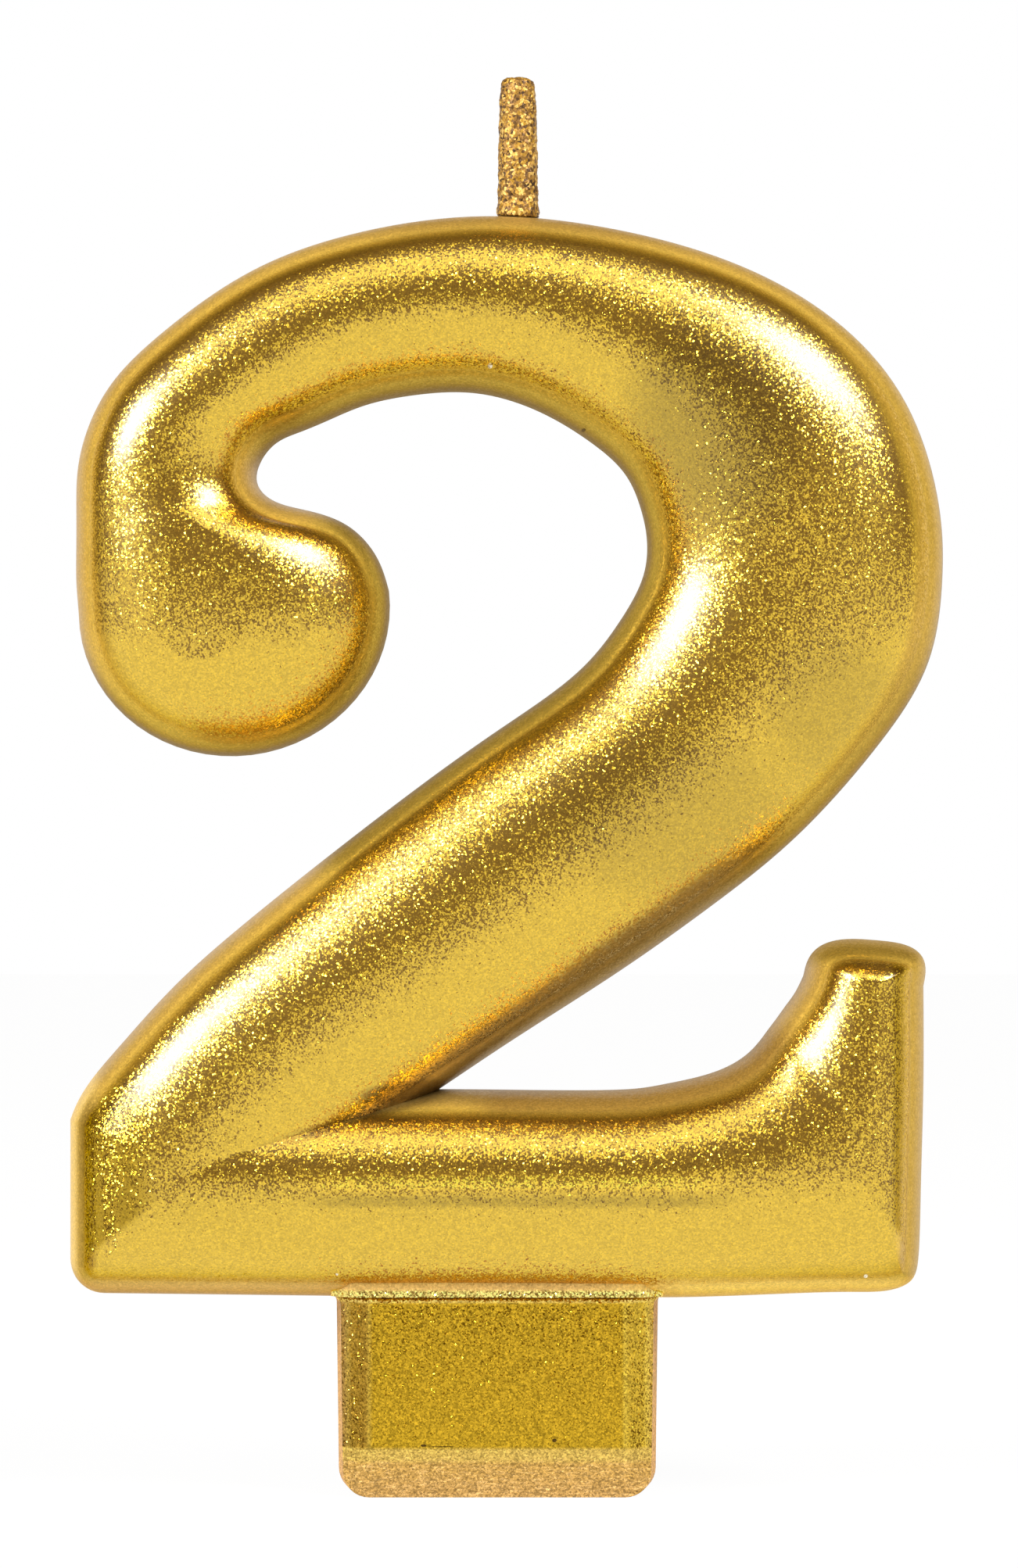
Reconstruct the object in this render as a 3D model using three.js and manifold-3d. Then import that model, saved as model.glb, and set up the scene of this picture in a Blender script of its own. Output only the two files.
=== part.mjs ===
// Number candle in the shape of a 2: a cast wax body in a thin gold lacquer skin, with a short
// wick bedded in its crown and a gold cap of dip wax over the wick's stub. Millimetres, +Z up, the
// front faces -Y, and the origin is the middle of the underside of the tab that stands in the cake.
import * as THREE from 'three';
import { mergeVertices } from 'three/addons/utils/BufferGeometryUtils.js';
import Module from 'manifold-3d';

const wasm = await Module();
wasm.setup();

// Half thickness of the casting, from the parting plane to the crest of each stretch
const ballDepth = 6.8;
const hookDepth = 5.9;
const archDepth = 5.9;
const bowlDepth = 6.8;
const diagonalDepth = 6.6;
const barDepth = 6.2;
const serifDepth = 5.4;

// Edge of every stroke: from the parting plane a band rounds over to a soft crease, and there the
// dome starts. Each point is how far the outline has moved inwards and how high it has come.
const bandProfile = [[0, 0], [0.44, 2.6]];
const crease = [1.05, 3.58];
const domeFullness = 0.95;

// Tab under the numeral
const tabX = -0.5;
const tabHeight = 11.7;
const tabHalfWidth = 9.35;
const tabTaper = 0.15;
const tabDepth = 3.1;
const tabEdgeDepth = 2.1;
const tabEdgeDraft = 0.3;
const tabSideBevel = 1.25;
const tabToeHeight = 2.9;
const tabCorner = 1.5;
const tabFillet = 0.55;

// Height of the numeral, from the underside of its bar to the top of its arch
const archTop = 62.6;

// Base bar of the numeral
const barLeft = -25.3;
const barRight = 24.3;
const barHeight = 11.8;
const barSag = 0.3;

// Place of the crest, as a share of the way across a stroke from its outer or upper edge
const middleCrest = 0.5;
const barCrest = 0.42;
const serifCrest = 0.53;

// Lower left corner, where both strokes end under slopes that meet in a hip
const ridgeEnd = barHeight * (1 - barCrest);
const cornerRadius = 2;
const cornerMargin = 0.04;
const cornerSlant = 0.012;
const cornerReach = 90;
const cornerRise = [20, 8];
const barStart = barLeft + ridgeEnd;
const barTip = barLeft + 1.1;
const heelLeft = barLeft - 0.5;

// Serif at the right end of the bar
const serifHeight = 20.5;
const serifWidth = 7;
const serifTopRise = 2.4;
const serifSlope = 0.3;

// Lacquer skin, the room between it and the wax, and the bare patch under the tab
const skinThickness = 0.3;
const skinClearance = 0.3;
const patchMargin = 0.3;

// Wick, and the gold cap of dip wax over its stub
const wickX = 0.7;
const wickDiameter = 1.3;
const wickStub = 7.9;
const wickBed = 7.4;
const wickClearance = 0.15;
const capWall = 0.3;
const capFlare = 0.22;
const capSeat = 0.3;

// How finely the curved surfaces are divided
const stepsPerStation = 2;
const endSteps = 6;
const domeSteps = 3;
const roundSides = 12;

// Main stroke, in stations of outer edge x, z, inner edge x, z, half thickness. The ball, arch and
// bowl hang from the top of the arch, so their heights are below it.
const archStations = [
  [-24.8, -24.0, -6.8, -21.8, ballDepth],
  [-24.9, -22.6, -7.5, -19.85, ballDepth],
  [-25.0, -21.2, -9.2, -18.0, ballDepth],
  [-25.0, -19.2, -11.6, -17.1, (ballDepth + hookDepth) / 2],
  [-25.0, -17.0, -13.6, -16.5, hookDepth],
  [-24.9, -14.6, -14.5, -15.3, hookDepth],
  [-24.2, -12.0, -13.6, -13.4, hookDepth],
  [-22.7, -9.4, -12.1, -12.6, hookDepth],
  [-19.8, -6.6, -10.4, -11.9, hookDepth],
  [-15.4, -3.5, -8.2, -11.0, archDepth],
  [-10.0, -1.3, -5.3, -10.4, archDepth],
  [-2.1, 0, -1.7, -10.3, archDepth],
  [5.6, -0.6, 2.0, -11.4, archDepth],
  [13.0, -2.6, 5.0, -13.2, (archDepth + bowlDepth) / 2],
  [19.1, -6.0, 7.0, -15.1, bowlDepth],
  [23.3, -10.9, 7.9, -17.2, bowlDepth],
  [25.2, -16.8, 8.2, -18.8, bowlDepth],
  [25.4, -21.1, 8.0, -20.9, bowlDepth],
  [24.6, -25.9, 6.6, -23.6, bowlDepth],
  [21.8, -30.6, 4.2, -26.5, bowlDepth],
];

// The diagonal stands on the bar, so its heights are above the bar's underside. It bends down the
// left end of the bar and comes out under it, where the corner trims it.
const diagonalStations = [
  [17.0, 26.6, -0.3, 32.8, diagonalDepth],
  [12.0, 22.5, -4.8, 29.6, diagonalDepth],
  [6.5, 18.6, -9.9, 25.7, diagonalDepth],
  [0.6, 14.8, -14.9, 21.7, diagonalDepth],
  [-3.6, 12.0, -19.2, 17.9, (diagonalDepth + barDepth) / 2],
  [-7.6, 9.3, -22.4, 14.4, barDepth],
  [-11.0, 6.6, -24.5, 11.8, barDepth],
  [-13.2, 3.4, (barLeft + heelLeft) / 2, 9.2, barDepth],
  [-14.2, -1.0, heelLeft, 5.0, barDepth],
  [-14.6, -6.0, heelLeft, 0, barDepth],
];
const mainStations = [
  ...archStations.map(([ox, oz, ix, iz, depth]) => [ox, archTop + oz, ix, archTop + iz, depth]),
  ...diagonalStations,
].map((station) => [...station, middleCrest]);
const ballEnd = { reach: [1.0, -8.45], squareness: 2 };
const heelEnd = { reach: [0, -4], squareness: 2 };

// Turn from the bar up into the serif: upper edge x, z from the bar's upper right corner, then
// lower edge x, z from its lower right corner, half thickness and the place of the crest
const turnStations = [
  [-15.1, 0.3, -13.8, -barSag, barDepth, 0.42],
  [-12.2, 1.0, -9.3, -barSag / 2, barDepth, 0.43],
  [-10.1, 2.2, -4.5, 0, barDepth, 0.46],
  [-9.1, 3.4, -2.0, 0.1, barDepth, 0.49],
  [-8.8, 3.8, -0.7, 0.7, barDepth, 0.51],
  [-8.5, 4.2, -0.3, 1.9, barDepth, 0.53],
  [-8.0, 4.9, -0.15, 6, barDepth, 0.56],
  [-7.5, 5.6, 0, 12, (barDepth + serifDepth) / 2, 0.56],
];

// Base stroke, from the left end of the bar to the top of the serif, in the same columns: upper
// edge, then lower edge. The last chord crosses the serif below its top.
const serifLeft = barRight - serifWidth;
const serifChord = serifHeight - serifTopRise;
const baseStations = [
  [barStart, barHeight, barStart, -1.5 * barSag, barDepth, barCrest],
  [-10.6, barHeight, -10.6, -barSag, barDepth, barCrest],
  [-2.0, barHeight, -2.0, -0.8 * barSag, barDepth, barCrest],
  [7.0, barHeight, 7.0, -barSag, barDepth, barCrest],
  ...turnStations.map(([ux, uz, lx, lz, ...rest]) => [
    barRight + ux, barHeight + uz, barRight + lx, lz, ...rest,
  ]),
  [serifLeft, serifChord + serifSlope, barRight, serifChord - serifSlope, serifDepth, serifCrest],
];
const barEnd = { reach: [barTip - barStart, 0.2], squareness: 2 };
const serifEnd = { reach: [0.5, serifTopRise], squareness: 3 };

// Curve through one pair of columns of a list of stations, set on top of the tab
function rail(stations, column) {
  const points = stations.map((s) => new THREE.Vector3(s[column], 0, s[column + 1] + tabHeight));
  return new THREE.CatmullRomCurve3(points, false, 'centripetal');
}

// Sections that close a stroke round the end of its crest, from the first chord to the tip
function endSections(chord, end) {
  const reach = new THREE.Vector3(end.reach[0], 0, end.reach[1]);
  const power = 2 / end.squareness;
  const sections = [];
  for (let step = 1; step <= endSteps; step += 1) {
    const angle = (Math.PI / 2) * (step / endSteps);
    const across = step === endSteps ? 0 : Math.cos(angle) ** power;
    const along = Math.sin(angle) ** power;
    const place = (edge) => chord.crest.clone()
      .addScaledVector(edge.clone().sub(chord.crest), across)
      .addScaledVector(reach, along);
    sections.push({ ...chord, outer: place(chord.outer), inner: place(chord.inner) });
  }
  return sections;
}

// All sections of a stroke, from the tip of its first end to the tip of its last
function strokeSections(stations, firstEnd, lastEnd) {
  const outerRail = rail(stations, 0);
  const innerRail = rail(stations, 2);
  const depths = new THREE.SplineCurve(stations.map((s, i) => new THREE.Vector2(i, s[4])));
  const crests = new THREE.SplineCurve(stations.map((s, i) => new THREE.Vector2(i, s[5])));
  const count = (stations.length - 1) * stepsPerStation;
  const sections = [];
  for (let step = 0; step <= count; step += 1) {
    const along = step / count;
    const outer = outerRail.getPoint(along);
    const inner = innerRail.getPoint(along);
    const crest = outer.clone().lerp(inner, crests.getPoint(along).y);
    sections.push({ outer, inner, crest, depth: depths.getPoint(along).y });
  }
  const before = endSections(sections[0], firstEnd).reverse();
  const after = endSections(sections[count], lastEnd);
  return [...before, ...sections, ...after];
}

// Edges of each section once the stroke's whole outline is moved inwards by an even distance
function insetEdges(sections, distance) {
  const outer = sections.map((section) => section.outer);
  const inner = sections.slice(1, -1).map((section) => section.inner).reverse();
  const outline = [...outer, ...inner];
  const flat = outline.map((point) => new THREE.Vector2(point.x, point.z));
  const turn = Math.sign(THREE.ShapeUtils.area(flat));
  const moved = outline.map((point, i) => {
    const before = outline[(i + outline.length - 1) % outline.length];
    const after = outline[(i + 1) % outline.length];
    const into = point.clone().sub(before).normalize();
    const out = after.clone().sub(point).normalize();
    const along = into.add(out).normalize();
    const inward = new THREE.Vector3(-along.z * turn, 0, along.x * turn);
    return point.clone().addScaledVector(inward, distance / along.dot(out));
  });
  return sections.map((section, i) => {
    const isTip = i === 0 || i === sections.length - 1;
    return { outer: moved[i], inner: isTip ? moved[i] : moved[outline.length - i] };
  });
}

// Height of the dome as a share of its rise, from 1 at the crest to 0 at the crease
function domeShare(fromCrest) {
  const foot = Math.sqrt(1 - domeFullness ** 2);
  return (Math.sqrt(1 - (domeFullness * fromCrest) ** 2) - foot) / (1 - foot);
}

// Steps up the dome from the crease: how much of the way to the crest is left, and the height
function domeProfile(foot, top) {
  return Array.from({ length: domeSteps }, (_, step) => {
    const fromCrest = 1 - step / domeSteps;
    return [fromCrest, foot + (top - foot) * domeShare(fromCrest)];
  });
}

// Front half of one section, from its outer edge over the crest to its inner edge. The last of
// the edges is the crease.
function frontProfile(edges, section, inset) {
  const top = section.depth - inset;
  const foot = crease[1] - inset;
  const flank = (side) => [
    ...bandProfile.map(([, height], i) => edges[i][side].clone().setY(-Math.max(height - inset, 0))),
    ...domeProfile(foot, top).map(([fromCrest, height]) => section.crest.clone()
      .lerp(edges[bandProfile.length][side], fromCrest)
      .setY(-height)),
  ];
  return [...flank('outer'), section.crest.clone().setY(-top), ...flank('inner').reverse()];
}

// Triangles between neighbouring closed rings that all have the same number of points
function ringTriangles(rings, closeEnds) {
  const size = rings[0].length;
  const triangles = [];
  for (let ring = 0; ring < rings.length - 1; ring += 1) {
    for (let i = 0; i < size; i += 1) {
      const a = ring * size + i;
      const b = ring * size + ((i + 1) % size);
      triangles.push([a, b, b + size], [a, b + size, a + size]);
    }
  }
  if (closeEnds) {
    const last = (rings.length - 1) * size;
    for (let i = 1; i < size - 1; i += 1) {
      triangles.push([0, i + 1, i], [last, last + i, last + i + 1]);
    }
  }
  return triangles;
}

// Closed geometry from rings of points, with shared corners merged and flat triangles left out
function ringGeometry(rings, closeEnds) {
  const positions = rings.flat().flatMap((p) => [p.x, p.y, p.z]);
  const loose = new THREE.BufferGeometry();
  loose.setAttribute('position', new THREE.Float32BufferAttribute(positions, 3));
  loose.setIndex(ringTriangles(rings, closeEnds).flat());
  const merged = mergeVertices(loose, 1e-4);
  const index = merged.getIndex().array;
  const kept = [];
  for (let i = 0; i < index.length; i += 3) {
    const [a, b, c] = index.slice(i, i + 3);
    if (a !== b && b !== c && c !== a) kept.push(a, b, c);
  }
  merged.setIndex(kept);
  return merged;
}

// Solid for cutting and joining, turned so that its faces point outwards
function solidFrom(geometry) {
  const bare = new THREE.BufferGeometry();
  bare.setAttribute('position', geometry.getAttribute('position'));
  bare.setIndex(geometry.getIndex());
  const merged = mergeVertices(bare, 1e-4);
  const vertProperties = Float32Array.from(merged.getAttribute('position').array);
  const triVerts = Uint32Array.from(merged.getIndex().array);
  if (signedVolume(vertProperties, triVerts) < 0) {
    for (let i = 0; i < triVerts.length; i += 3) {
      [triVerts[i], triVerts[i + 1]] = [triVerts[i + 1], triVerts[i]];
    }
  }
  return new wasm.Manifold(new wasm.Mesh({ numProp: 3, vertProperties, triVerts }));
}

function signedVolume(places, triangles) {
  const corner = (i) => new THREE.Vector3().fromArray(places, triangles[i] * 3);
  let total = 0;
  for (let i = 0; i < triangles.length; i += 3) {
    total += corner(i).dot(corner(i + 1).cross(corner(i + 2)));
  }
  return total / 6;
}

// Plain geometry from a joined or cut solid
function geometryFrom(solid) {
  const mesh = solid.getMesh();
  const geometry = new THREE.BufferGeometry();
  geometry.setAttribute('position', new THREE.Float32BufferAttribute(mesh.vertProperties, 3));
  geometry.setIndex([...mesh.triVerts]);
  return geometry;
}

// One stroke of the numeral, drawn in by an even distance all over
function strokeSolid(sections, inset) {
  const outlines = [...bandProfile, crease].map(([draft]) => insetEdges(sections, inset + draft));
  const rings = sections.map((section, i) => {
    const front = frontProfile(outlines.map((outline) => outline[i]), section, inset);
    const back = front.slice(1, -1).reverse().map((p) => new THREE.Vector3(p.x, -p.y, p.z));
    return [...front, ...back];
  });
  return solidFrom(ringGeometry(rings, false));
}

// Level section of the tab at one height: parting edges, drafted edges and flat faces
function tabRing(height, inset) {
  const sole = inset;
  const corner = tabCorner - inset;
  const fromSole = height - sole;
  const rounding = corner - Math.sqrt(corner ** 2 - Math.max(corner - fromSole, 0) ** 2);
  const toFillet = Math.max(height - (tabHeight - tabFillet), 0);
  const flare = tabFillet - Math.sqrt(tabFillet ** 2 - Math.min(toFillet, tabFillet) ** 2);
  const share = Math.min(height / tabToeHeight, 1);
  const half = tabHalfWidth - tabTaper * (1 - height / tabHeight) - inset - rounding + flare;
  const face = tabEdgeDepth + (tabDepth - tabEdgeDepth) * share - inset + flare;
  const edge = tabEdgeDepth - inset + flare;
  const drafted = half - tabEdgeDraft;
  const flat = drafted - tabSideBevel * share;
  const quarter = [[half, 0], [drafted, edge], [flat, face]];
  const mirrored = quarter.slice().reverse().map(([x, y]) => [-x, y]);
  const front = [...quarter, ...mirrored];
  const back = [[-drafted, -edge], [-flat, -face], [flat, -face], [drafted, -edge]];
  return [...front, ...back].map(([x, y]) => new THREE.Vector3(tabX + x, y, height));
}

// The tab, from its sole up into the bar
function tabSolid(inset) {
  const corner = tabCorner - inset;
  const heights = [];
  for (let step = 0; step < 4; step += 1) {
    heights.push(inset + corner * (1 - Math.cos((Math.PI / 2) * (step / 4))));
  }
  heights.push(tabCorner, tabToeHeight, tabHeight - tabFillet);
  for (let step = 1; step <= 3; step += 1) {
    heights.push(tabHeight - tabFillet + tabFillet * Math.sin((Math.PI / 2) * (step / 3)));
  }
  heights.push(tabHeight + barHeight / 4);
  return solidFrom(ringGeometry(heights.map((height) => tabRing(height, inset)), true));
}

// Outline of the lower left corner at one level of its slopes, with far corners that cut nothing
function cornerRing(draft, height) {
  const left = barLeft - cornerMargin + draft;
  const bottom = tabHeight - cornerMargin + draft;
  const radius = Math.max(cornerRadius - draft, 0);
  const outline = [[left, cornerReach]];
  for (let step = 0; step <= endSteps; step += 1) {
    const angle = Math.PI * (1 + step / endSteps / 2);
    const along = left + radius + radius * Math.cos(angle);
    outline.push([along, bottom + radius + radius * Math.sin(angle)]);
  }
  outline.push([cornerReach, bottom], [cornerReach, cornerReach]);
  return outline.map(([x, z]) => new THREE.Vector3(x, -height, z - cornerSlant * (x - barLeft)));
}

// The slopes of the lower left corner, as a block that trims both strokes there
function cornerSolid(inset) {
  const dome = domeProfile(crease[1], barDepth + cornerMargin).map(([fromCrest, height]) => [
    THREE.MathUtils.lerp(ridgeEnd, crease[0], fromCrest), height,
  ]);
  const slopes = [...dome, [ridgeEnd, barDepth + cornerMargin], cornerRise];
  const levels = [...bandProfile.slice(1), ...slopes];
  const front = levels.map(([draft, height]) => cornerRing(draft + inset, height - inset)).reverse();
  const back = levels.map(([draft, height]) => cornerRing(draft + inset, inset - height));
  return solidFrom(ringGeometry([...front, cornerRing(inset, 0), ...back], true));
}

const mainSections = strokeSections(mainStations, ballEnd, heelEnd);
const baseSections = strokeSections(baseStations, barEnd, serifEnd);

// The whole casting, drawn in by an even distance
function numeralSolid(inset) {
  return strokeSolid(mainSections, inset)
    .add(strokeSolid(baseSections, inset))
    .intersect(cornerSolid(inset))
    .add(tabSolid(inset));
}

// Height of the arch's outer edge over one place across the candle
function crownHeight(x) {
  const heights = mainSections.slice(1).map((section, i) => {
    const from = mainSections[i].outer;
    const share = (x - from.x) / (section.outer.x - from.x);
    const isBetween = share >= 0 && share <= 1;
    return isBetween ? THREE.MathUtils.lerp(from.z, section.outer.z, share) : 0;
  });
  return Math.max(...heights);
}

const crown = crownHeight(wickX);
const boreRadius = wickDiameter / 2 + wickClearance;
const capBase = crown + capSeat;
const capTop = crown + wickStub;
const capRadius = boreRadius + capWall;

// Upright round rod between two heights on the wick's axis
function wickRod(radius, bottom, top) {
  const rod = new THREE.CylinderGeometry(radius, radius, top - bottom, roundSides);
  rod.rotateX(Math.PI / 2);
  rod.translate(wickX, 0, (bottom + top) / 2);
  return rod;
}

// Upright block over the middle of the tab's sole
function soleBlock(margin, bottom, top) {
  const width = 2 * (tabHalfWidth - tabTaper - tabCorner - margin);
  const depth = 2 * (tabEdgeDepth - margin);
  const block = new THREE.BoxGeometry(width, depth, top - bottom);
  block.translate(tabX, 0, (bottom + top) / 2);
  return block;
}

// Cast wax: the numeral inside the skin, a bare foot through the skin's sole, a bed for the wick
function waxBody() {
  const inset = skinThickness + skinClearance;
  const foot = solidFrom(soleBlock(patchMargin + skinClearance, 0, tabCorner));
  const bed = solidFrom(wickRod(boreRadius, crown - wickBed - wickClearance, capTop));
  return geometryFrom(numeralSolid(inset).add(foot).subtract(bed));
}

// Lacquer skin: open under the tab for the foot and on the crown for the wick
function goldSkin() {
  const mouth = solidFrom(soleBlock(patchMargin, -skinThickness, tabCorner));
  const hole = solidFrom(wickRod(boreRadius, crown - wickBed / 2, capTop));
  const inside = numeralSolid(skinThickness).add(mouth).add(hole);
  return geometryFrom(numeralSolid(0).subtract(inside));
}

// Cotton wick, from its bed in the wax up into the cap
function cottonWick() {
  return wickRod(wickDiameter / 2, crown - wickBed, capTop - capWall - wickClearance);
}

// Gold dip wax over the stub: a sleeve closed at the top, a little wider at its foot
function wickCap() {
  const profile = [
    [0, capTop - capWall],
    [boreRadius, capTop - capWall],
    [boreRadius, capBase],
    [capRadius + capFlare, capBase],
    [capRadius, capBase + 4 * capFlare],
    [capRadius - capFlare / 2, capTop - capWall],
    [capRadius / 2, capTop - capWall / 8],
    [0, capTop],
  ];
  const cap = new THREE.LatheGeometry(profile.map(([r, z]) => new THREE.Vector2(r, z)), roundSides);
  cap.rotateX(Math.PI / 2);
  cap.translate(wickX, 0, 0);
  return geometryFrom(solidFrom(cap));
}

const group = new THREE.Group();

function addPiece(name, geometry, color, roughness, metalness) {
  const material = new THREE.MeshStandardMaterial({ color, roughness, metalness });
  const mesh = new THREE.Mesh(geometry, material);
  mesh.name = name;
  group.add(mesh);
}

addPiece('wax_body', waxBody(), 0xefe4c4, 0.55, 0);
addPiece('gold_skin', goldSkin(), 0xc9a13a, 0.32, 0.95);
addPiece('cotton_wick', cottonWick(), 0xe9e2d0, 0.9, 0);
addPiece('wick_cap', wickCap(), 0xb98f35, 0.6, 0.5);

export default group;
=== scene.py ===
# %% [markdown]
# # A gold numeral candle
# The candle is wax, cast in a two-part mould, coated with gold lacquer and given a short wick.
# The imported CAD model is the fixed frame: it says where every piece is and how large it may be.
# This script keeps the CAD wax and wick, gives them their finishes, and models the lacquer skin
# and the dipped end of the wick again with the detail that the photograph shows.

# %% Load the fixed frame
import math

import bmesh
import bpy
import numpy as np
from mathutils import Matrix, Vector, noise


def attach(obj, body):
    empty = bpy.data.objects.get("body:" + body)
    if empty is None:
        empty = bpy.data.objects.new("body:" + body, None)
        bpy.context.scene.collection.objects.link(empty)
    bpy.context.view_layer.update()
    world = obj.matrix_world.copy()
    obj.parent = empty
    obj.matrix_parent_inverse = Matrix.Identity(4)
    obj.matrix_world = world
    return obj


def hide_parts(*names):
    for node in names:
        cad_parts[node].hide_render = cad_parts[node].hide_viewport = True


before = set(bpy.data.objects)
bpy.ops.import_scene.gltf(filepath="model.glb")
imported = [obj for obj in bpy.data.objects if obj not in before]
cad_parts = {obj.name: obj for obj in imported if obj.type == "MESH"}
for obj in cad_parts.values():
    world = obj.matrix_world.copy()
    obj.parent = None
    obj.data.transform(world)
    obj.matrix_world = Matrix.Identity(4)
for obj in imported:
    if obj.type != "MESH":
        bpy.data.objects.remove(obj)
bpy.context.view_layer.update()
MM = 0.001
print("CAD nodes:", sorted(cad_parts))

# %% [markdown]
# ## The camera
# The photograph looks straight at the candle from about a third of a metre, which shows in how
# much of its side walls can be seen. One photo pixel is 0.0455 mm at the candle's middle plane,
# so the lens follows from the distance, and the camera needs no tilt and no shift.

# %% Camera
photo_width = 1302
photo_height = 2006
pixel = 0.0455 * MM
photo_axis = 647
photo_floor = 1910
camera_distance = 330 * MM

lens = bpy.data.cameras.new("camera")
lens.sensor_fit = "HORIZONTAL"
lens.sensor_width = 36
lens.lens = lens.sensor_width * camera_distance / (photo_width * pixel)
lens.clip_start = 10 * MM
camera = bpy.data.objects.new("camera", lens)
camera.location = (
    (photo_width / 2 - photo_axis) * pixel,
    -camera_distance,
    (photo_floor - photo_height / 2) * pixel,
)
camera.rotation_euler = (math.pi / 2, 0, 0)
bpy.context.scene.collection.objects.link(camera)
bpy.context.scene.camera = camera
print(f"camera: {lens.lens:.0f} mm lens at {tuple(round(c / MM, 1) for c in camera.location)} mm")

# %% [markdown]
# ## Writing materials
# A material is a graph of nodes. Written node by node it's long and hard to read, so one small
# class wraps a socket and lets Python's operators add the Math nodes. A second class holds a
# material and makes any other node from its type, its settings and its inputs.

# %% Sockets that can be added and multiplied
class Wire:
    """An output socket. Arithmetic on it adds Math nodes to its material."""

    def __init__(self, finish, socket):
        self.finish = finish
        self.socket = socket

    def math(self, operation, *inputs):
        return self.finish.node("ShaderNodeMath", {"operation": operation}, dict(enumerate(inputs)))

    def __add__(self, other):
        return self.math("ADD", self, other)

    def __radd__(self, other):
        return self.math("ADD", other, self)

    def __sub__(self, other):
        return self.math("SUBTRACT", self, other)

    def __rsub__(self, other):
        return self.math("SUBTRACT", other, self)

    def __mul__(self, other):
        return self.math("MULTIPLY", self, other)

    def __rmul__(self, other):
        return self.math("MULTIPLY", other, self)

    def __or__(self, other):
        """The larger of two masks."""
        return self.math("MAXIMUM", self, other)

    def __abs__(self):
        return self.math("ABSOLUTE", self)


class Finish:
    """A procedural material under construction."""

    def __init__(self, name):
        self.material = bpy.data.materials.new(name)
        self.material.use_nodes = True
        self.tree = self.material.node_tree
        self.tree.nodes.clear()

    def node(self, kind, settings=None, inputs=None, output=0):
        """Adds a node, with its settings first and then its inputs, and returns an output."""
        made = self.tree.nodes.new(kind)
        for key, value in (settings or {}).items():
            if key == "stops":
                self.set_stops(made.color_ramp, value)
            else:
                setattr(made, key, value)
        for key, value in (inputs or {}).items():
            if isinstance(value, Wire):
                self.tree.links.new(value.socket, made.inputs[key])
            else:
                made.inputs[key].default_value = value
        return Wire(self, made.outputs[output]) if made.outputs else None

    def set_stops(self, ramp, stops):
        while len(ramp.elements) < len(stops):
            ramp.elements.new(1.0)
        for element, (place, color) in zip(ramp.elements, stops):
            element.position = place
            element.color = (*color, 1)

    def place(self):
        return self.node("ShaderNodeTexCoord", output="Object")

    def axis(self, vector, name):
        return self.node("ShaderNodeSeparateXYZ", None, {"Vector": vector}, name)

    def step(self, value, low, high):
        """0 below low, 1 above high and a smooth change between."""
        return self.node(
            "ShaderNodeMapRange",
            {"interpolation_type": "SMOOTHSTEP"},
            {"Value": value, "From Min": low, "From Max": high},
        )

    def fade(self, value, low, high):
        """1 below low, 0 above high and a smooth change between."""
        return 1 - self.step(value, low, high)

    def within(self, value, rise, fall):
        """1 from the rise to the fall, each with a low and a high end, and 0 outside."""
        return self.step(value, *rise) * self.fade(value, *fall)

    def cells(self, place, scale):
        """A random colour in every cell of a Voronoi texture."""
        return self.node("ShaderNodeTexVoronoi", None, {"Vector": place, "Scale": scale}, "Color")

    def channel(self, color, name):
        return self.node("ShaderNodeSeparateColor", None, {"Color": color}, name)

    def blend(self, factor, first, second):
        """A colour between two colours."""
        color = lambda c: c if isinstance(c, Wire) else (*c, 1)
        inputs = {0: factor, 6: color(first), 7: color(second)}
        return self.node("ShaderNodeMix", {"data_type": "RGBA"}, inputs, 2)

    def show(self, shader):
        self.node("ShaderNodeOutputMaterial", None, {"Surface": shader})
        return self.material


print("material helpers ready")

# %% [markdown]
# ## The stage
# Gold has hardly any colour of its own: it shows what stands round it. The photograph's light can
# be read from the candle. Every slope that faces down mirrors a white floor, the rims mirror a
# white wall behind, the top edges mirror a dark ceiling, and two soft lamps stand up to the left
# and up to the right, in front of the candle. A lit floor and wall alone come out grey, so a part
# of their own white is added where the camera or a reflection sees them, and the shadow stays.

# %% Floor and backdrop
stage_reach = 1400 * MM
wall_distance = 900 * MM
wall_height = 560 * MM
paper_white = 0.8
paper_glow = 0.97


def paper_finish(name, glow):
    paper = Finish(name)
    sheet = paper.node("ShaderNodeBsdfDiffuse", None, {"Color": (paper_white,) * 3 + (1,)}, "BSDF")
    light = paper.node("ShaderNodeEmission", None, {"Strength": 1.0}, "Emission")
    seen = paper.node("ShaderNodeLightPath", output="Is Camera Ray")
    mirrored = paper.node("ShaderNodeLightPath", output="Is Glossy Ray")
    passed = paper.node("ShaderNodeLightPath", output="Is Transmission Ray")
    share = (seen + mirrored + passed) * glow
    return paper.show(paper.node("ShaderNodeMixShader", None, {0: share, 1: sheet, 2: light}))


def stage_sheet(name, size, turn, place, glow):
    mesh = bpy.data.meshes.new(name)
    sheet = bmesh.new()
    bmesh.ops.create_grid(sheet, x_segments=1, y_segments=1, size=0.5)
    bmesh.ops.scale(sheet, vec=(*size, 1), verts=sheet.verts)
    bmesh.ops.rotate(sheet, matrix=Matrix.Rotation(turn, 3, "X"), verts=sheet.verts)
    bmesh.ops.translate(sheet, vec=place, verts=sheet.verts)
    sheet.to_mesh(mesh)
    mesh.materials.append(paper_finish(name, glow))
    stage = bpy.data.objects.new(name, mesh)
    bpy.context.scene.collection.objects.link(stage)


stage_sheet("floor", (2 * stage_reach, 2 * stage_reach), 0, (0, 0, 0), paper_glow)
stage_sheet(
    "wall",
    (2 * stage_reach, wall_height),
    math.pi / 2,
    (0, wall_distance, wall_height / 2),
    1.0,
)
print(f"floor and wall, {2 * stage_reach:.1f} m wide")

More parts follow.
